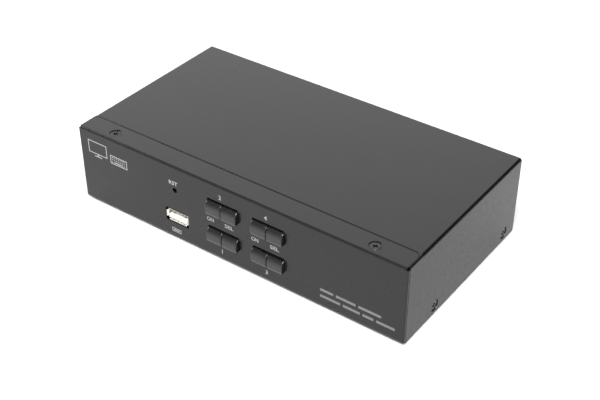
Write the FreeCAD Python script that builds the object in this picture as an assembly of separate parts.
import FreeCAD, Part
import math
import os

# Four-port desktop switch box for keyboard, video and mouse. Millimetres.
# +X is the box's right, its front panel faces -Y, +Z is up.
# The origin is at the bottom centre of the whole object's box, on the surface that it stands on.

# --- driving dimensions ---
CASE_WIDTH = 200.0
CASE_DEPTH = 107.0
CASE_HEIGHT = 44.4
SHEET = 1.2                 # thickness of the folded steel
SEAM = 0.15                 # gap where two sheets meet
FRONT_SEAM = 0.35           # gap between the front panel and the cover's sides
TRAY_BEND = 1.3             # outer bend radius of the tray
COVER_BEND = 1.6            # outer bend radius of the cover
INNER_BEND = 0.3
BEND_RELIEF = 1.2           # notch at each end of the front panel's top bend
STRIP_DEPTH = 12.3          # the front panel's flange along the top
STRIP_GAP = 0.3             # between the strip and the step in the cover's top
STRIP_CORNER = 2.6
STRIP_SCREW_X = 79.0
STRIP_SCREW_IN = 5.9        # from the front face
SIDE_SCREWS_IN = (27.0, 95.7)
SIDE_SCREW_UP = 5.0
DISH_RADIUS = 3.3           # mouth of a dished screw hole
DISH_STEP = 0.45            # depth of its upright rim
HEAD_RADIUS = 2.75
HEAD_SUNK = 0.35
FLANGE_HEIGHT = 10.0        # side flanges that the side screws go into
FOOT_HEIGHT = 0.8
FOOT_RADIUS = 5.0
FOOT_INSET = 15.0

KEY_PROUD = 2.45            # how far a key's face stands out of the front panel
KEY_WIDTH = 18.9
KEY_TOP = 3.2               # above the middle of its window
KEY_BOTTOM = 4.05           # below the middle of its window
KEY_ROUND = 3.5             # radius of the quarter round at the top of its face
KEY_GROOVE = (0.6, 0.5)     # half width and depth of the line between its halves
KEY_TRAVEL = 1.2
KEY_WINDOW = (19.3, 8.6)
KEY_WINDOW_CORNER = 1.0
KEY_COLUMNS = (-4.6, 23.1)
KEY_ROWS = (14.1, 30.7)     # heights above the tray's underside
KEY_LIP = 1.0               # thickness of the rim that keeps a key in its window

RESET_X = -35.2
RESET_UP = 30.1
PINHOLE_RADIUS = 1.4
RESET_TRAVEL = 0.3

FRONT_SOCKET_X = -34.9
FRONT_SOCKET_UP = 13.5
FRONT_SOCKET_WINDOW = (14.9, 8.0)
FRONT_SOCKET_SUNK = 0.2     # its mouth is this far behind the front face

SOCKET_PROUD = 0.8          # the rear sockets stand out of the rear panel by this much
COMPUTER_X = (-72.0, -40.0, -8.0, 24.0)
CONSOLE_USB_X = (50.0, 68.0)
CONSOLE_VIDEO_X = 59.0
AUDIO_X = (80.0, 91.0)
POWER_X = 86.0

USB_SIZE = (13.1, 5.72)     # outside of a flat socket's shell
USB_WALL = 0.3
USB_DEPTH = 13.6
FLARE_SIZE = (14.5, 6.9)    # across the lips of its mouth
FLARE_DEPTH = 0.8
TONGUE_WIDTH = 11.1
TONGUE_THICK = 2.05
TONGUE_GAP = 0.45           # between the tongue and the shell below it
TONGUE_IN = 0.35            # its tip behind the mouth
COMPUTER_USB_SIZE = (12.0, 10.9)
COMPUTER_USB_DEPTH = 16.4
COMPUTER_USB_MOUTH = (8.45, 7.78)
VIDEO_SIZE = (15.0, 5.6)
VIDEO_WALL = 0.35
VIDEO_DEPTH = 11.5
AUDIO_BORE = 1.8            # radius of the bore for a 3.5 mm plug
AUDIO_BORE_LENGTH = 11.0
AUDIO_NOSE = 3.0
AUDIO_SIZE = (7.6, 8.2)     # the jack's body
POWER_SIZE = (9.0, 11.0)
POWER_BORE = 3.2
POWER_BORE_DEPTH = 9.5
POWER_PIN = 1.0

SWITCH_IN = 9.8             # front face of a key's switch behind the front face
SWITCH_SIZE = 8.0
STEM = 2.7                  # width of the square stem
RESET_SWITCH_IN = 11.0

BOARD = 1.6
MAIN_BOARD_UP = 6.2         # underside of the main board above the tray's underside
BOARD_GAP = 15.0            # between the main board and the upper board
FRONT_BOARD_IN = 14.6       # front face of the front board behind the front face
BOARD_HALF_WIDTH = 92.0
SCREW_RADIUS = 1.5          # M3
THREAD_HOLE = 1.52
CLEAR_HOLE = 1.7

V = FreeCAD.Vector
X_AXIS = V(1, 0, 0)
Y_AXIS = V(0, 1, 0)
Z_AXIS = V(0, 0, 1)

FRONT_Y = -(CASE_DEPTH + KEY_PROUD + SOCKET_PROUD) / 2 + KEY_PROUD
BACK_Y = FRONT_Y + CASE_DEPTH
BASE_Z = FOOT_HEIGHT
TOP_Z = BASE_Z + CASE_HEIGHT
SIDE_X = CASE_WIDTH / 2
TRAY_X = SIDE_X - SHEET - SEAM              # outer face of the tray's side flanges
JOGGLE_Y = FRONT_Y + STRIP_DEPTH + STRIP_GAP    # front edge of the cover's top
LIP_TOP = TOP_Z - SHEET - SEAM              # top of the cover's front lip, under the strip


def behind_front(distance):
    return FRONT_Y + distance


def before_back(distance):
    return BACK_Y - distance


def above_base(height):
    return BASE_Z + height


MAIN_TOP = above_base(MAIN_BOARD_UP + BOARD)
UPPER_BOTTOM = MAIN_TOP + BOARD_GAP
UPPER_TOP = UPPER_BOTTOM + BOARD
FRONT_BOARD_Y = behind_front(FRONT_BOARD_IN)


# --- basic shapes ---
def box(x, y, z):
    """A block between (low, high) pairs along each axis."""
    size = [high - low for low, high in (x, y, z)]
    return Part.makeBox(size[0], size[1], size[2], V(x[0], y[0], z[0]))


def around(centre, width):
    return (centre - width / 2, centre + width / 2)


def rod(radius, start, axis, length):
    return Part.makeCylinder(radius, length, start, axis)


def join(shapes):
    whole = shapes[0]
    for shape in shapes[1:]:
        whole = whole.fuse(shape)
    return whole.removeSplitter()


def cut_all(shape, tools):
    for tool in tools:
        shape = shape.cut(tool)
    return shape


def round_edges(shape, radius, chosen):
    edges = [edge for edge in shape.Edges if chosen(edge)]
    return shape.makeFillet(radius, edges)


def runs_along(edge, axis):
    """True for a straight edge that is parallel to the axis."""
    if len(edge.Vertexes) != 2:
        return False
    step = edge.Vertexes[1].Point - edge.Vertexes[0].Point
    return step.Length > 1e-6 and abs(abs(step.dot(axis)) - step.Length) < 1e-6


def round_block(x, y, z, radius, axis):
    """A block whose four edges along one axis are rounded."""
    return round_edges(box(x, y, z), radius, lambda edge: runs_along(edge, axis))


def extrude_yz(points, x_low, x_high):
    """A closed outline of (y, z) points, drawn out along X."""
    corners = [V(x_low, y, z) for y, z in points]
    face = Part.Face(Part.makePolygon(corners + corners[:1]))
    return face.extrude(V(x_high - x_low, 0, 0))


def extrude_xz(points, y_low, y_high):
    """A closed outline of (x, z) points, drawn out along Y."""
    corners = [V(x, y_low, z) for x, z in points]
    face = Part.Face(Part.makePolygon(corners + corners[:1]))
    return face.extrude(V(0, y_high - y_low, 0))


def turned_back(shape):
    """The same shape facing the rear."""
    return shape.rotated(V(0, 0, 0), Z_AXIS, 180)


# --- folded case ---
def side_screw_places():
    return [(side, behind_front(inset)) for side in (-1, 1) for inset in SIDE_SCREWS_IN]


def countersink(point, inward):
    """The tool for a dished screw hole through one sheet."""
    cone = Part.makeCone(DISH_RADIUS - 0.3, 1.55, SHEET - DISH_STEP, point + inward * DISH_STEP, inward)
    mouth = rod(DISH_RADIUS, point - inward, inward, 1 + DISH_STEP)
    throat = rod(1.55, point, inward, SHEET + 0.01)
    return cone.fuse(mouth).fuse(throat)


def screw_boss(point, inward, length):
    """The thread drawn out of the sheet behind a screw."""
    return rod(2.6, point, inward, length)


def key_places():
    """Keys 1 and 2 are in the left column, 3 and 4 in the right, counted from below."""
    return [(x, above_base(up)) for x in KEY_COLUMNS for up in KEY_ROWS]


def front_windows():
    deep = (FRONT_Y - 1, FRONT_Y + SHEET + 1)
    tools = []
    for x, z in key_places():
        window = (around(x, KEY_WINDOW[0]), deep, around(z, KEY_WINDOW[1]))
        tools.append(round_block(*window, KEY_WINDOW_CORNER, Y_AXIS))
    width, height = FRONT_SOCKET_WINDOW
    socket_z = above_base(FRONT_SOCKET_UP)
    tools.append(round_block(around(FRONT_SOCKET_X, width), deep, around(socket_z, height), 0.4, Y_AXIS))
    pinhole = V(RESET_X, deep[0], above_base(RESET_UP))
    tools.append(rod(PINHOLE_RADIUS, pinhole, Y_AXIS, deep[1] - deep[0]))
    return tools


def rear_windows():
    """Cut-outs for every rear socket, a little larger than its mouth."""
    deep = (BACK_Y - SHEET - 1, BACK_Y + 1)
    spare = 0.5
    tools = []

    def window(x, z, width, height):
        tools.append(round_block(around(x, width + spare), deep, around(z, height + spare), 0.4, Y_AXIS))

    for x in COMPUTER_X:
        window(x, COMPUTER_USB_Z, COMPUTER_USB_SIZE[0], COMPUTER_USB_SIZE[1])
        window(x, VIDEO_Z, VIDEO_SIZE[0] + 0.8, VIDEO_SIZE[1] + 0.8)
    window(CONSOLE_VIDEO_X, VIDEO_Z, VIDEO_SIZE[0] + 0.8, VIDEO_SIZE[1] + 0.8)
    for x in CONSOLE_USB_X:
        window(x, CONSOLE_USB_Z, FLARE_SIZE[0], FLARE_SIZE[1])
    window(POWER_X, POWER_Z, POWER_SIZE[0], POWER_SIZE[1])
    for x in AUDIO_X:
        window(x, AUDIO_BODY_Z, AUDIO_SIZE[0], AUDIO_SIZE[1])
    return tools


def tray_wrap():
    """Front panel, its top strip, the floor and the rear panel, folded from one sheet."""
    outer = box((-SIDE_X, SIDE_X), (FRONT_Y, BACK_Y), (BASE_Z, TOP_Z))
    outer = round_edges(
        outer, TRAY_BEND,
        lambda edge: runs_along(edge, X_AXIS)
        and (edge.CenterOfMass.y < 0 or edge.CenterOfMass.z < above_base(1)))
    hollow = box((-SIDE_X - 1, SIDE_X + 1), (FRONT_Y + SHEET, BACK_Y - SHEET),
                 (BASE_Z + SHEET, TOP_Z - SHEET))
    hollow = round_edges(hollow, INNER_BEND, lambda edge: runs_along(edge, X_AXIS))
    wrap = outer.cut(hollow)
    beside = [box((TRAY_X, SIDE_X + 1), (FRONT_Y + SHEET, BACK_Y + 1), (BASE_Z - 1, TOP_Z + 1)),
              box((-SIDE_X - 1, -TRAY_X), (FRONT_Y + SHEET, BACK_Y + 1), (BASE_Z - 1, TOP_Z + 1))]
    above = box((-SIDE_X, SIDE_X), (behind_front(STRIP_DEPTH), BACK_Y + 1), (LIP_TOP, TOP_Z + 1))
    corner_y = (FRONT_Y - 1, FRONT_Y + SHEET)
    corner_z = (TOP_Z - BEND_RELIEF, TOP_Z + 1)
    reliefs = [box((TRAY_X, SIDE_X + 1), corner_y, corner_z), box((-SIDE_X - 1, -TRAY_X), corner_y, corner_z)]
    wrap = cut_all(wrap, beside + [above] + reliefs)
    wrap = round_edges(
        wrap, SHEET * 0.6,
        lambda edge: runs_along(edge, Z_AXIS) and edge.Length > CASE_HEIGHT / 2
        and abs(edge.CenterOfMass.x) > SIDE_X - 0.1 and edge.CenterOfMass.y < FRONT_Y + 0.1)
    wrap = round_edges(
        wrap, STRIP_CORNER,
        lambda edge: runs_along(edge, Z_AXIS) and edge.Length < SHEET * 1.5
        and abs(edge.CenterOfMass.y - behind_front(STRIP_DEPTH)) < 0.01)
    return round_edges(
        wrap, COVER_BEND,
        lambda edge: runs_along(edge, Y_AXIS) and edge.Length < SHEET * 1.5
        and edge.CenterOfMass.y > 0 and edge.CenterOfMass.z > LIP_TOP - 1)


def tray_flanges():
    """The floor's two sides, bent up inside the cover."""
    along = (behind_front(18), before_back(5))
    outer = round_edges(
        box((-TRAY_X, TRAY_X), along, (BASE_Z, above_base(FLANGE_HEIGHT))), TRAY_BEND,
        lambda edge: runs_along(edge, Y_AXIS) and edge.CenterOfMass.z < above_base(1))
    inner_x = TRAY_X - SHEET
    hollow = round_edges(
        box((-inner_x, inner_x), (along[0] - 1, along[1] + 1), (BASE_Z + SHEET, TOP_Z)), INNER_BEND,
        lambda edge: runs_along(edge, Y_AXIS) and edge.CenterOfMass.z < above_base(2))
    relief = [box((TRAY_X - TRAY_BEND, TRAY_X + 1), along, (BASE_Z - 1, BASE_Z + TRAY_BEND)),
              box((-TRAY_X - 1, -TRAY_X + TRAY_BEND), along, (BASE_Z - 1, BASE_Z + TRAY_BEND))]
    return outer.cut(hollow), relief


def base_tray():
    flanges, relief = tray_flanges()
    tray = join([cut_all(tray_wrap(), relief), flanges])
    height = above_base(SIDE_SCREW_UP)
    bosses = []
    holes = []
    for side, y in side_screw_places():
        inward = V(-side, 0, 0)
        bosses.append(screw_boss(V(side * (TRAY_X - SHEET / 2), y, height), inward, SHEET / 2 + 1.5))
        holes.append(rod(THREAD_HOLE, V(side * (TRAY_X + 1), y, height), inward, 8.0))
    tray = join([tray] + bosses)
    for side in (-1, 1):
        top = V(side * STRIP_SCREW_X, behind_front(STRIP_SCREW_IN), TOP_Z)
        holes.append(countersink(top, -Z_AXIS))
    return cut_all(tray, holes + front_windows() + rear_windows())


def cover_lip():
    """The top's front edge, stepped down to pass under the strip."""
    back = JOGGLE_Y + 3.0
    front = behind_front(SHEET + 1.8)
    crown = 0.8
    corner = V(0, JOGGLE_Y + crown, TOP_Z - crown)
    arc = Part.Arc(V(0, JOGGLE_Y, TOP_Z - crown),
                   corner + V(0, -crown * math.sqrt(0.5), crown * math.sqrt(0.5)),
                   V(0, JOGGLE_Y + crown, TOP_Z)).toShape()
    path = [(JOGGLE_Y + crown, TOP_Z), (back, TOP_Z), (back, TOP_Z - SHEET),
            (JOGGLE_Y + SHEET, TOP_Z - SHEET), (JOGGLE_Y + SHEET, LIP_TOP - SHEET),
            (front, LIP_TOP - SHEET), (front, LIP_TOP), (JOGGLE_Y, LIP_TOP), (JOGGLE_Y, TOP_Z - crown)]
    corners = [V(0, y, z) for y, z in path]
    wire = Part.Wire([arc] + Part.makePolygon(corners).Edges)
    half = SIDE_X - 3.0
    lip = Part.Face(wire).extrude(V(2 * half, 0, 0))
    lip.translate(V(-half, 0, 0))
    return lip


def strip_corner(side):
    """The corner of the cover's top that follows the strip's rounded corner."""
    centre_x = side * (TRAY_X - STRIP_CORNER)
    centre_y = behind_front(STRIP_DEPTH) - STRIP_CORNER
    corner = box(sorted((centre_x, side * (SIDE_X - SHEET))), (centre_y, JOGGLE_Y), (TOP_Z - SHEET, TOP_Z))
    return corner.cut(rod(STRIP_CORNER + STRIP_GAP, V(centre_x, centre_y, TOP_Z - 2), Z_AXIS, 4))


def top_cover():
    front = FRONT_Y + SHEET + FRONT_SEAM
    outer = round_edges(
        box((-SIDE_X, SIDE_X), (front, BACK_Y), (BASE_Z, TOP_Z)), COVER_BEND,
        lambda edge: runs_along(edge, Y_AXIS) and edge.CenterOfMass.z > TOP_Z - 1)
    inner_x = SIDE_X - SHEET
    hollow = round_edges(
        box((-inner_x, inner_x), (front - 1, BACK_Y + 1), (BASE_Z - 1, TOP_Z - SHEET)), COVER_BEND - SHEET,
        lambda edge: runs_along(edge, Y_AXIS) and edge.CenterOfMass.z > BASE_Z)
    cover = outer.cut(hollow)
    strip_gap = box((-SIDE_X - 1, SIDE_X + 1), (front - 1, JOGGLE_Y), (TOP_Z - 3, TOP_Z + 1))
    lip_gap = box((-SIDE_X + 3, SIDE_X - 3), (JOGGLE_Y - 1, JOGGLE_Y + 3), (TOP_Z - 3, TOP_Z + 1))
    cover = cut_all(cover, [strip_gap, lip_gap])
    corners = [strip_corner(-1), strip_corner(1)]
    ears = []
    for x in ((inner_x, SIDE_X), (-SIDE_X, -inner_x)):
        ears.append(round_edges(
            box(x, (front, JOGGLE_Y), (TOP_Z - 3, TOP_Z)), SHEET * 0.9,
            lambda edge: runs_along(edge, Y_AXIS) and edge.CenterOfMass.z > TOP_Z - 0.1
            and abs(edge.CenterOfMass.x) > SIDE_X - 0.1))
    bosses = []
    holes = []
    for side in (-1, 1):
        top = V(side * STRIP_SCREW_X, behind_front(STRIP_SCREW_IN), LIP_TOP)
        bosses.append(screw_boss(top - V(0, 0, SHEET / 2), -Z_AXIS, SHEET / 2 + 1.6))
        holes.append(rod(THREAD_HOLE, top + V(0, 0, 1), -Z_AXIS, 8.0))
    for side, y in side_screw_places():
        holes.append(countersink(V(side * SIDE_X, y, above_base(SIDE_SCREW_UP)), V(-side, 0, 0)))
    return cut_all(join([cover, cover_lip()] + corners + ears + bosses), holes)


# --- fasteners and feet ---
def cross_recess(point, inward, reach, depth):
    """Two crossed slots with a pointed middle, as in a cross-recess screw head."""
    side = X_AXIS if abs(inward.x) < 0.5 else Y_AXIS
    other = inward.cross(side)
    width = 0.8
    start = point - inward * 0.1
    slots = []
    for a, b in ((side, other), (other, side)):
        corner = start - a * (reach / 2) - b * (width / 2)
        outline = [corner, corner + a * reach, corner + a * reach + b * width, corner + b * width, corner]
        slots.append(Part.Face(Part.makePolygon(outline)).extrude(inward * (depth + 0.1)))
    return slots[0].fuse(slots[1]).fuse(Part.makeCone(1.0, 0.3, depth + 0.3, point, inward))


def flat_screw(point, inward):
    """M3 countersunk screw whose head lies just below the point."""
    sunk = point + inward * HEAD_SUNK
    rim = 0.1
    height = 0.6
    head = rod(HEAD_RADIUS, sunk, inward, rim)
    cone = Part.makeCone(HEAD_RADIUS, SCREW_RADIUS, height - rim, sunk + inward * rim, inward)
    shank = rod(SCREW_RADIUS, sunk + inward * height, inward, 4.7)
    return head.fuse(cone).fuse(shank).cut(cross_recess(sunk, inward, 2.6, 0.9)).removeSplitter()


def cover_screws():
    screws = [flat_screw(V(side * STRIP_SCREW_X, behind_front(STRIP_SCREW_IN), TOP_Z), -Z_AXIS)
              for side in (-1, 1)]
    for side, y in side_screw_places():
        screws.append(flat_screw(V(side * SIDE_X, y, above_base(SIDE_SCREW_UP)), V(-side, 0, 0)))
    return Part.makeCompound(screws)


def pan_screw(point, inward):
    """M3 pan head screw that seats at the point."""
    head = rod(2.75, point - inward * 2.0, inward, 2.0)
    shank = rod(SCREW_RADIUS, point, inward, 6.0)
    return head.fuse(shank).cut(cross_recess(point - inward * 2.0, inward, 3.0, 1.0)).removeSplitter()


def hex_post(point, axis, length, across=5.5):
    """A hexagonal post standing on the point."""
    side = X_AXIS
    other = axis.cross(side)
    radius = across / math.sqrt(3)
    corners = []
    for step in range(7):
        angle = math.radians(60 * step)
        corners.append(point + side * (radius * math.cos(angle)) + other * (radius * math.sin(angle)))
    return Part.Face(Part.makePolygon(corners)).extrude(axis * length)


SPACER_PLACES = [(-87.0, before_back(8)), (37.5, before_back(8)),
                 (-87.0, behind_front(50)), (87.0, behind_front(50))]
FRONT_STANDOFF_PLACES = [(-87.0, behind_front(25)), (87.0, behind_front(25))]
FRONT_POST_PLACES = [(-44.0, above_base(35)), (38.0, above_base(35))]


def tray_standoffs():
    length = MAIN_BOARD_UP - SHEET
    posts = []
    for x, y in SPACER_PLACES + FRONT_STANDOFF_PLACES:
        foot = V(x, y, BASE_Z + SHEET)
        posts.append(hex_post(foot, Z_AXIS, length).cut(rod(THREAD_HOLE, foot, Z_AXIS, length)))
    return Part.makeCompound(posts)


def board_spacers():
    posts = []
    for x, y in SPACER_PLACES:
        foot = V(x, y, MAIN_TOP)
        body = hex_post(foot, Z_AXIS, BOARD_GAP).fuse(rod(SCREW_RADIUS, foot, -Z_AXIS, BOARD + 4.0))
        posts.append(body.cut(rod(THREAD_HOLE, foot + V(0, 0, 7), Z_AXIS, BOARD_GAP - 7)).removeSplitter())
    return Part.makeCompound(posts)


def front_posts():
    """Posts pressed into the inside of the front panel, which carry the front board."""
    posts = []
    for x, z in FRONT_POST_PLACES:
        start = V(x, FRONT_Y + SHEET, z)
        length = FRONT_BOARD_IN - SHEET
        post = hex_post(start, Y_AXIS, length)
        posts.append(post.cut(rod(THREAD_HOLE, start + V(0, length - 8, 0), Y_AXIS, 8)))
    return Part.makeCompound(posts)


def board_screws():
    screws = [pan_screw(V(x, y, UPPER_TOP), -Z_AXIS) for x, y in SPACER_PLACES]
    screws += [pan_screw(V(x, y, MAIN_TOP), -Z_AXIS) for x, y in FRONT_STANDOFF_PLACES]
    screws += [pan_screw(V(x, FRONT_BOARD_Y + BOARD, z), -Y_AXIS) for x, z in FRONT_POST_PLACES]
    return Part.makeCompound(screws)


def rubber_foot(x, y):
    foot = rod(FOOT_RADIUS, V(x, y, 0), Z_AXIS, FOOT_HEIGHT)
    return round_edges(foot, 0.3, lambda edge: edge.Closed and abs(edge.CenterOfMass.z) < 0.01)


# --- boards ---
HEADER_PINS_X = [2.54 * (step - 4.5) for step in range(10)]
HEADER_Z = MAIN_TOP + 1.2           # low enough to pass under the lower switches
HEADER_ROW_Y = behind_front(FRONT_BOARD_IN + BOARD + 3.0)
STACK_PLACE = (0.0, behind_front(54))


def board_holes(places, z):
    return [rod(CLEAR_HOLE, V(x, y, z - 1), Z_AXIS, BOARD + 2) for x, y in places]


def main_board():
    front = FRONT_BOARD_Y + BOARD + 0.3
    z = (above_base(MAIN_BOARD_UP), MAIN_TOP)
    board = box((-BOARD_HALF_WIDTH, BOARD_HALF_WIDTH), (front, before_back(SHEET + 0.4)), z)
    pins = [rod(0.5, V(x, HEADER_ROW_Y, z[0] - 1), Z_AXIS, BOARD + 2) for x in HEADER_PINS_X]
    return cut_all(board, board_holes(SPACER_PLACES + FRONT_STANDOFF_PLACES, z[0]) + pins)


def upper_board():
    z = (UPPER_BOTTOM, UPPER_TOP)
    board = box((-BOARD_HALF_WIDTH, BOARD_HALF_WIDTH), (behind_front(44), before_back(SHEET + 0.4)), z)
    return cut_all(board, board_holes(SPACER_PLACES, z[0]))


def front_board():
    y = (FRONT_BOARD_Y, FRONT_BOARD_Y + BOARD)
    board = box((-48.0, 42.0), y, (above_base(3.0), above_base(39.5)))
    holes = [rod(0.5, V(x, y[0] - 1, HEADER_Z), Y_AXIS, BOARD + 2) for x in HEADER_PINS_X]
    holes += [rod(CLEAR_HOLE, V(x, y[0] - 1, z), Y_AXIS, BOARD + 2) for x, z in FRONT_POST_PLACES]
    return cut_all(board, holes)


def front_board_header():
    """Right-angle pins from the front board down into the main board."""
    body_y = (FRONT_BOARD_Y + BOARD + 0.1, HEADER_ROW_Y + 1.3)
    pin = 0.6
    parts = [box((-14.0, 14.0), body_y, (MAIN_TOP + 0.1, MAIN_TOP + 5.0))]
    for x in HEADER_PINS_X:
        parts.append(box(around(x, pin), (FRONT_BOARD_Y - 0.8, body_y[0] + 1), around(HEADER_Z, pin)))
        parts.append(box(around(x, pin), around(HEADER_ROW_Y, pin),
                         (above_base(MAIN_BOARD_UP - 0.8), MAIN_TOP + 1)))
    return join(parts)


def stacking_pins():
    x, y = STACK_PLACE
    return [(x + offset, y + row) for offset in HEADER_PINS_X for row in (-1.27, 1.27)]


def stacking_header():
    """Pins on the main board that reach up to the upper board's socket."""
    x, y = STACK_PLACE
    parts = [box(around(x, 26.0), around(y, 5.4), (MAIN_TOP, MAIN_TOP + 8.5))]
    for pin_x, pin_y in stacking_pins():
        parts.append(box(around(pin_x, 0.6), around(pin_y, 0.6), (MAIN_TOP + 8, MAIN_TOP + 12)))
    return join(parts)


def stacking_socket():
    x, y = STACK_PLACE
    bottom = MAIN_TOP + 8.6
    body = box(around(x, 26.0), around(y, 5.4), (bottom, UPPER_BOTTOM))
    return cut_all(body, [box(around(px, 0.9), around(py, 0.9), (bottom - 1, MAIN_TOP + 12.5))
                          for px, py in stacking_pins()])


# --- keys ---
SWITCH_FRONT = behind_front(SWITCH_IN)
STEM_RIM = (SWITCH_FRONT + 0.9, SWITCH_FRONT + 1.8)
SPRING_PRESSED = 1.0                # room left for the spring with the key pressed
SWITCH_FLOOR = STEM_RIM[1] + KEY_TRAVEL + SPRING_PRESSED
CAP_BACK = behind_front(5.0)
LAMP_OFFSET = 6.2


def key_body(x, z):
    """Flat face below, a quarter round above it, and straight sides back to the switch."""
    face_y = FRONT_Y - KEY_PROUD
    centre_y = face_y + KEY_ROUND
    centre_z = z + KEY_TOP - KEY_ROUND
    low, high = z - KEY_BOTTOM, z + KEY_TOP
    wide = around(x, KEY_WIDTH + 2)
    profile = join([
        rod(KEY_ROUND, V(wide[0], centre_y, centre_z), X_AXIS, wide[1] - wide[0]),
        box(wide, (centre_y, CAP_BACK), (low, high)), box(wide, (face_y, centre_y), (low, centre_z))])
    block = round_block(around(x, KEY_WIDTH), (face_y - 1, CAP_BACK + 1), (low, high), 0.8, Y_AXIS)
    return block.common(profile)


def key_groove(x, z):
    """The tool for the V-shaped line that divides a key's face, which follows the quarter round."""
    half, depth = KEY_GROOVE
    face_y = FRONT_Y - KEY_PROUD
    centre_z = z + KEY_TOP - KEY_ROUND
    outline = [(x - half, face_y - 1), (x + half, face_y - 1), (x + half, face_y), (x, face_y + depth),
               (x - half, face_y)]
    corners = [V(px, py, centre_z) for px, py in outline]
    face = Part.Face(Part.makePolygon(corners + corners[:1]))
    return face.extrude(V(0, 0, -10)).fuse(face.revolve(V(x, face_y + KEY_ROUND, centre_z), X_AXIS, -90))


def key_cap(x, z):
    """A key in two halves, with a rim behind the panel and a socket for the stem."""
    rim_y = FRONT_Y + SHEET + 0.1
    rim = round_block(around(x, KEY_WINDOW[0] + 1.7), (rim_y, rim_y + KEY_LIP),
                      around(z, KEY_WINDOW[1] + 1.2), 0.8, Y_AXIS)
    wall = 1.1
    hollow = box(around(x, KEY_WIDTH - 2 * wall), (FRONT_Y + 0.9, CAP_BACK + 1),
                 (z - KEY_BOTTOM + wall, z + KEY_TOP - wall))
    boss = box(around(x, 5.2), (FRONT_Y + 0.5, CAP_BACK + 0.6), around(z, 5.2))
    socket = box(around(x, STEM + 0.02), (behind_front(1.6), CAP_BACK + 1), around(z, STEM + 0.02))
    shell = join([key_body(x, z), rim]).cut(hollow)
    return cut_all(join([shell, boss]), [key_groove(x, z), socket])


def key_stem(x, z):
    shaft = box(around(x, STEM), (behind_front(1.7), STEM_RIM[1]), around(z, STEM))
    rim = box(around(x, 5.4), STEM_RIM, around(z, 5.4))
    return join([shaft, rim])


def key_switch(x, z):
    """A push switch's housing, on the front board."""
    body = round_block(around(x, SWITCH_SIZE), (SWITCH_FRONT, FRONT_BOARD_Y), around(z, SWITCH_SIZE),
                       0.5, Y_AXIS)
    room = box(around(x, 6.0), (STEM_RIM[0] - 0.1, SWITCH_FLOOR), around(z, 6.0))
    mouth = box(around(x, STEM + 0.3), (SWITCH_FRONT - 1, STEM_RIM[0]), around(z, STEM + 0.3))
    return cut_all(body, [room, mouth])


def return_spring(x, z):
    """A conical coil, its wire drawn with eight sides, that pushes the stem forward."""
    wire = 0.12
    coil_radius = 2.2
    start = STEM_RIM[1] + wire + 0.02
    length = SWITCH_FLOOR - start - wire - 0.02
    helix = Part.makeHelix(length / 3, length, coil_radius, -14)
    corners = []
    for step in range(9):
        angle = math.radians(45 * step)
        corners.append(V(coil_radius + wire * math.cos(angle), 0, wire * math.sin(angle)))
    coil = Part.Wire(helix).makePipeShell([Part.makePolygon(corners)], True, True)
    coil.rotate(V(0, 0, 0), X_AXIS, -90)
    coil.translate(V(x, start, z))
    return coil


def lamp(x, z):
    """A 3 mm lamp on two legs."""
    tip = behind_front(6.6)
    radius = 1.5
    dome = Part.makeSphere(radius, V(x, tip + radius, z))
    body = rod(radius, V(x, tip + radius, z), Y_AXIS, 3.4)
    rim = rod(1.9, V(x, tip + radius + 2.6, z), Y_AXIS, 0.8)
    leg_y = (tip + radius + 3.3, FRONT_BOARD_Y)
    legs = [box(around(x + side * 0.9, 0.5), leg_y, around(z, 0.5)) for side in (-1, 1)]
    return join([dome, body, rim] + legs)


def key_lamps():
    return Part.makeCompound([lamp(x + side * LAMP_OFFSET, z) for x, z in key_places() for side in (-1, 1)])


RESET_FRONT = behind_front(RESET_SWITCH_IN)
RESET_RIM = (RESET_FRONT + 0.9, RESET_FRONT + 1.6)
RESET_SHAFT = 1.0


def reset_switch():
    z = above_base(RESET_UP)
    body = box(around(RESET_X, 6.0), (RESET_FRONT, FRONT_BOARD_Y), around(z, 6.0))
    room_start = RESET_RIM[0] - 0.1
    room = rod(2.1, V(RESET_X, room_start, z), Y_AXIS, RESET_RIM[1] + RESET_TRAVEL + 0.8 - room_start)
    mouth = rod(RESET_SHAFT + 0.05, V(RESET_X, RESET_FRONT - 1, z), Y_AXIS, 2.5)
    return cut_all(body, [room, mouth])


def reset_plunger():
    z = above_base(RESET_UP)
    tip = behind_front(4.0)
    shaft = rod(RESET_SHAFT, V(RESET_X, tip, z), Y_AXIS, RESET_RIM[1] - tip)
    return join([shaft, rod(1.9, V(RESET_X, RESET_RIM[0], z), Y_AXIS, RESET_RIM[1] - RESET_RIM[0])])


# --- sockets: built with the mouth at y = 0 facing -Y, centred on x = 0, z = 0 ---
def flare(size):
    """One lip of the mouth, sloping out from the shell on each of its four sides."""
    width, height = size
    lips = []
    for half, spread, length in ((height / 2, FLARE_SIZE[1] / 2, width),
                                 (width / 2, FLARE_SIZE[0] / 2, height)):
        thick = USB_WALL
        outline = [(0, spread - thick), (0, spread), (FLARE_DEPTH, half), (FLARE_DEPTH + 0.4, half),
                   (FLARE_DEPTH + 0.4, half - thick), (FLARE_DEPTH, half - thick)]
        lip = extrude_yz(outline, -(length / 2 - 0.9), length / 2 - 0.9)
        if half == width / 2:
            lip.rotate(V(0, 0, 0), Y_AXIS, 90)
        lips.append(lip)
        lips.append(lip.rotated(V(0, 0, 0), Y_AXIS, 180))
    return lips


def usb_shell():
    width, height = USB_SIZE
    wall = USB_WALL
    tube = round_block(around(0, width), (FLARE_DEPTH, USB_DEPTH), around(0, height), 0.6, Y_AXIS)
    inside = round_block(around(0, width - 2 * wall), (FLARE_DEPTH - 1, USB_DEPTH - wall),
                         around(0, height - 2 * wall), 0.3, Y_AXIS)
    return join([tube.cut(inside)] + flare(USB_SIZE))


TONGUE_BOTTOM = -USB_SIZE[1] / 2 + USB_WALL + TONGUE_GAP
TONGUE_Z = (TONGUE_BOTTOM, TONGUE_BOTTOM + TONGUE_THICK)


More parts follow.
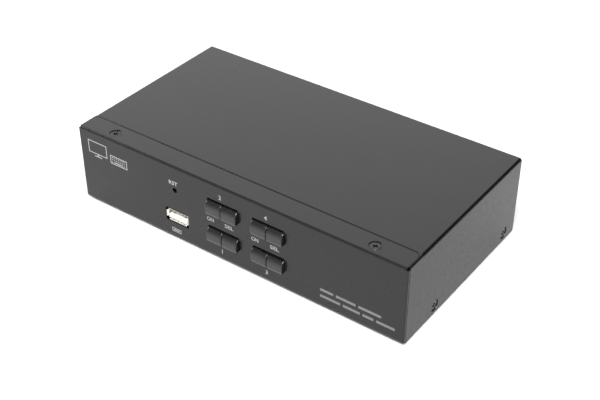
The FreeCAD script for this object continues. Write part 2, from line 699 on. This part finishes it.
def usb_insert():
    """Moulded block with the tongue, which lies low, contacts up."""
    room = (USB_SIZE[0] - 2 * USB_WALL - 0.1, USB_SIZE[1] - 2 * USB_WALL - 0.1)
    back = USB_DEPTH - USB_WALL - 0.1
    block = round_block(around(0, room[0]), (back - 3.5, back), around(0, room[1]), 0.3, Y_AXIS)
    tongue = box(around(0, TONGUE_WIDTH), (TONGUE_IN, back - 3), TONGUE_Z)
    tongue = round_edges(tongue, 0.25, lambda edge: runs_along(edge, X_AXIS) and edge.CenterOfMass.y < 1)
    return join([block, tongue])


def usb_contacts():
    strips = []
    for x, front in ((-3.5, 1.7), (-1.0, 2.3), (1.0, 2.3), (3.5, 1.7)):
        strips.append(box(around(x, 0.9), (front, USB_DEPTH - 4.0), (TONGUE_Z[1], TONGUE_Z[1] + 0.15)))
    return strips


def front_usb(shape):
    return shape.translated(V(FRONT_SOCKET_X, FRONT_Y + FRONT_SOCKET_SUNK, above_base(FRONT_SOCKET_UP)))


CONSOLE_USB_Z = MAIN_TOP + 0.1 + USB_SIZE[1] / 2 + 0.6


def console_usb(shape, x):
    """The same socket in the rear panel, tongue up."""
    flipped = shape.rotated(V(0, 0, 0), Y_AXIS, 180)
    return turned_back(flipped).translated(V(x, BACK_Y + SOCKET_PROUD, CONSOLE_USB_Z))


VIDEO_Z = UPPER_TOP + 0.1 + VIDEO_SIZE[1] / 2


def video_outline(inset):
    """Flat top, two lower corners cut away, drawn in by the inset."""
    half = VIDEO_SIZE[0] / 2 - inset
    top = VIDEO_SIZE[1] / 2 - inset
    shoulder = -0.6
    narrow = half - 1.9
    return [(-half, top), (half, top), (half, shoulder), (narrow, -top), (-narrow, -top), (-half, shoulder)]


def video_shell():
    outer = extrude_xz(video_outline(0), 0, VIDEO_DEPTH)
    return outer.cut(extrude_xz(video_outline(VIDEO_WALL), -1, VIDEO_DEPTH - VIDEO_WALL))


def video_insert():
    back = VIDEO_DEPTH - VIDEO_WALL - 0.05
    block = extrude_xz(video_outline(VIDEO_WALL + 0.05), back - 3, back)
    tongue = box(around(0, 11.6), (1.0, back - 2), around(0.25, 1.3))
    return join([block, tongue])


def rear_video(shape, x):
    return turned_back(shape).translated(V(x, BACK_Y + SOCKET_PROUD, VIDEO_Z))


COMPUTER_USB_Z = MAIN_TOP + 0.05 + COMPUTER_USB_SIZE[1] / 2


def square_usb_shell():
    width, height = COMPUTER_USB_SIZE
    outer = round_block(around(0, width), (0, COMPUTER_USB_DEPTH), around(0, height), 0.5, Y_AXIS)
    inside = box(around(0, width - 2 * USB_WALL), (-1, COMPUTER_USB_DEPTH - USB_WALL),
                 around(0, height - 2 * USB_WALL))
    return outer.cut(inside)


def square_usb_insert():
    """Moulded block with a square mouth, upper corners cut away, and a thick tongue."""
    width = COMPUTER_USB_SIZE[0] - 2 * USB_WALL - 0.1
    height = COMPUTER_USB_SIZE[1] - 2 * USB_WALL - 0.1
    back = COMPUTER_USB_DEPTH - USB_WALL - 0.1
    block = box(around(0, width), (0.3, back), around(0, height))
    half = COMPUTER_USB_MOUTH[0] / 2
    tall = COMPUTER_USB_MOUTH[1] / 2
    cut = 1.6
    outline = [(-half, -tall), (half, -tall), (half, tall - cut), (half - cut, tall), (cut - half, tall),
               (-half, tall - cut)]
    mouth = extrude_xz(outline, -1, 9.2)
    tongue = box(around(0, 5.6), (1.2, 10), around(0, 3.2))
    return join([block.cut(mouth), tongue])


def rear_square_usb(shape, x):
    return turned_back(shape).translated(V(x, BACK_Y + SOCKET_PROUD, COMPUTER_USB_Z))


AUDIO_Z = UPPER_TOP + 4.2
AUDIO_BODY_Z = UPPER_TOP + 0.05 + AUDIO_SIZE[1] / 2


def audio_jack(x):
    """Moulded jack set in the rear panel, with a round nose and a bore for a 3.5 mm plug."""
    mouth = BACK_Y + SOCKET_PROUD
    face = BACK_Y + 0.2
    body = box(around(x, AUDIO_SIZE[0]), (face - 12.6, face), around(AUDIO_BODY_Z, AUDIO_SIZE[1]))
    nose = rod(AUDIO_NOSE, V(x, mouth, AUDIO_Z), -Y_AXIS, mouth - face + 1)
    bore = rod(AUDIO_BORE, V(x, mouth + 1, AUDIO_Z), -Y_AXIS, AUDIO_BORE_LENGTH + 1)
    return join([body, nose]).cut(bore)


POWER_Z = MAIN_TOP + 0.05 + POWER_SIZE[1] / 2
POWER_WELL_Z = POWER_Z + 0.9
POWER_FACE_Y = BACK_Y + 0.2


def power_jack():
    """Barrel power inlet: a block with a round well, flush with the rear panel."""
    body = box(around(POWER_X, POWER_SIZE[0]), (POWER_FACE_Y - 13.5, POWER_FACE_Y),
               around(POWER_Z, POWER_SIZE[1]))
    well = rod(POWER_BORE, V(POWER_X, POWER_FACE_Y + 1, POWER_WELL_Z), -Y_AXIS, POWER_BORE_DEPTH + 1)
    hole = rod(POWER_PIN + 0.02, V(POWER_X, POWER_FACE_Y, POWER_WELL_Z), -Y_AXIS, 12.5)
    return cut_all(body, [well, hole])


def power_jack_pin():
    tip = POWER_FACE_Y - 1.0
    pin = rod(POWER_PIN, V(POWER_X, tip, POWER_WELL_Z), -Y_AXIS, 11.0)
    return round_edges(pin, 0.6, lambda edge: edge.Closed and edge.CenterOfMass.y > tip - 0.5)


# --- parts on the boards ---
CHIP_PLACE = (-24.0, behind_front(66))


def chip(x, y, z, width, height):
    body = box(around(x, width), around(y, width), (z + 0.2, z + 0.2 + height))
    pads = [box(around(x + step * width / 8, 0.35), around(y, width + 2.4), (z, z + 0.2))
            for step in range(-3, 4)]
    return join([body] + pads)


def switching_chip():
    return chip(CHIP_PLACE[0], CHIP_PLACE[1], UPPER_TOP, 18.0, 1.4)


def heat_sink():
    x, y = CHIP_PLACE
    size = 22.0
    foot = UPPER_TOP + 1.65
    parts = [box(around(x, size), around(y, size), (foot, foot + 2.0))]
    fins = 8
    for index in range(fins):
        fin_x = x - size / 2 + 0.6 + index * (size - 1.2) / (fins - 1)
        parts.append(box(around(fin_x, 1.2), around(y, size), (foot + 1.5, foot + 9.0)))
    return join(parts)


def control_chips():
    places = [(-60.0, behind_front(58), 10.0), (30.0, behind_front(60), 12.0), (62.0, behind_front(60), 9.0)]
    return Part.makeCompound([chip(x, y, MAIN_TOP, width, 1.2) for x, y, width in places])


def capacitors():
    cans = []
    for x, y in ((74.0, behind_front(74)), (84.0, behind_front(74)), (84.0, behind_front(64))):
        can = rod(3.2, V(x, y, MAIN_TOP), Z_AXIS, 9.0)
        cans.append(round_edges(can, 0.5, lambda edge: edge.Closed and edge.CenterOfMass.z > MAIN_TOP + 8))
    return Part.makeCompound(cans)


def all_nodes():
    """Every separate piece of the object, by name."""
    nodes = {
        "base_tray": base_tray(), "top_cover": top_cover(), "cover_screws": cover_screws(),
        "main_board": main_board(), "upper_board": upper_board(), "front_board": front_board(),
        "tray_standoffs": tray_standoffs(), "board_spacers": board_spacers(), "front_posts": front_posts(),
        "board_screws": board_screws(), "stacking_header": stacking_header(),
        "stacking_socket": stacking_socket(), "front_board_header": front_board_header(),
        "key_lamps": key_lamps(), "reset_switch": reset_switch(), "reset_plunger": reset_plunger(),
        "power_jack": power_jack(), "power_jack_pin": power_jack_pin(),
        "headphone_jack": audio_jack(AUDIO_X[0]), "microphone_jack": audio_jack(AUDIO_X[1]),
        "switching_chip": switching_chip(), "heat_sink": heat_sink(), "control_chips": control_chips(),
        "capacitors": capacitors(),
    }
    for name_y, y in (("front", behind_front(FOOT_INSET)), ("back", before_back(FOOT_INSET))):
        for name_x, x in (("left", -SIDE_X + FOOT_INSET), ("right", SIDE_X - FOOT_INSET)):
            nodes[f"foot_{name_y}_{name_x}"] = rubber_foot(x, y)
    for number, (x, z) in enumerate(key_places(), start=1):
        nodes[f"key_cap_{number}"] = key_cap(x, z)
        nodes[f"key_stem_{number}"] = key_stem(x, z)
        nodes[f"key_switch_{number}"] = key_switch(x, z)
        nodes[f"return_spring_{number}"] = return_spring(x, z)
    nodes["front_usb_shell"] = front_usb(usb_shell())
    nodes["front_usb_insert"] = front_usb(usb_insert())
    nodes["console_usb_shells"] = Part.makeCompound([console_usb(usb_shell(), x) for x in CONSOLE_USB_X])
    nodes["console_usb_inserts"] = Part.makeCompound([console_usb(usb_insert(), x) for x in CONSOLE_USB_X])
    nodes["usb_contacts"] = Part.makeCompound(
        [front_usb(strip) for strip in usb_contacts()]
        + [console_usb(strip, x) for x in CONSOLE_USB_X for strip in usb_contacts()])
    nodes["console_video_shell"] = rear_video(video_shell(), CONSOLE_VIDEO_X)
    for number, x in enumerate(COMPUTER_X, start=1):
        nodes[f"computer_video_shell_{number}"] = rear_video(video_shell(), x)
        nodes[f"computer_usb_shell_{number}"] = rear_square_usb(square_usb_shell(), x)
    nodes["video_inserts"] = Part.makeCompound(
        [rear_video(video_insert(), x) for x in COMPUTER_X + (CONSOLE_VIDEO_X,)])
    nodes["computer_usb_inserts"] = Part.makeCompound(
        [rear_square_usb(square_usb_insert(), x) for x in COMPUTER_X])
    return nodes


def main():
    os.makedirs("parts", exist_ok=True)
    nodes = all_nodes()
    whole = Part.makeCompound(list(nodes.values()))
    for name, shape in nodes.items():
        if not shape.isValid():
            print("not valid:", name)
        shape.exportStep(f"parts/{name}.step")
    limits = whole.BoundBox
    print(len(nodes), "nodes,", len(whole.Solids), "solids")
    print("x", limits.XMin, limits.XMax, "y", limits.YMin, limits.YMax, "z", limits.ZMin, limits.ZMax)


main()
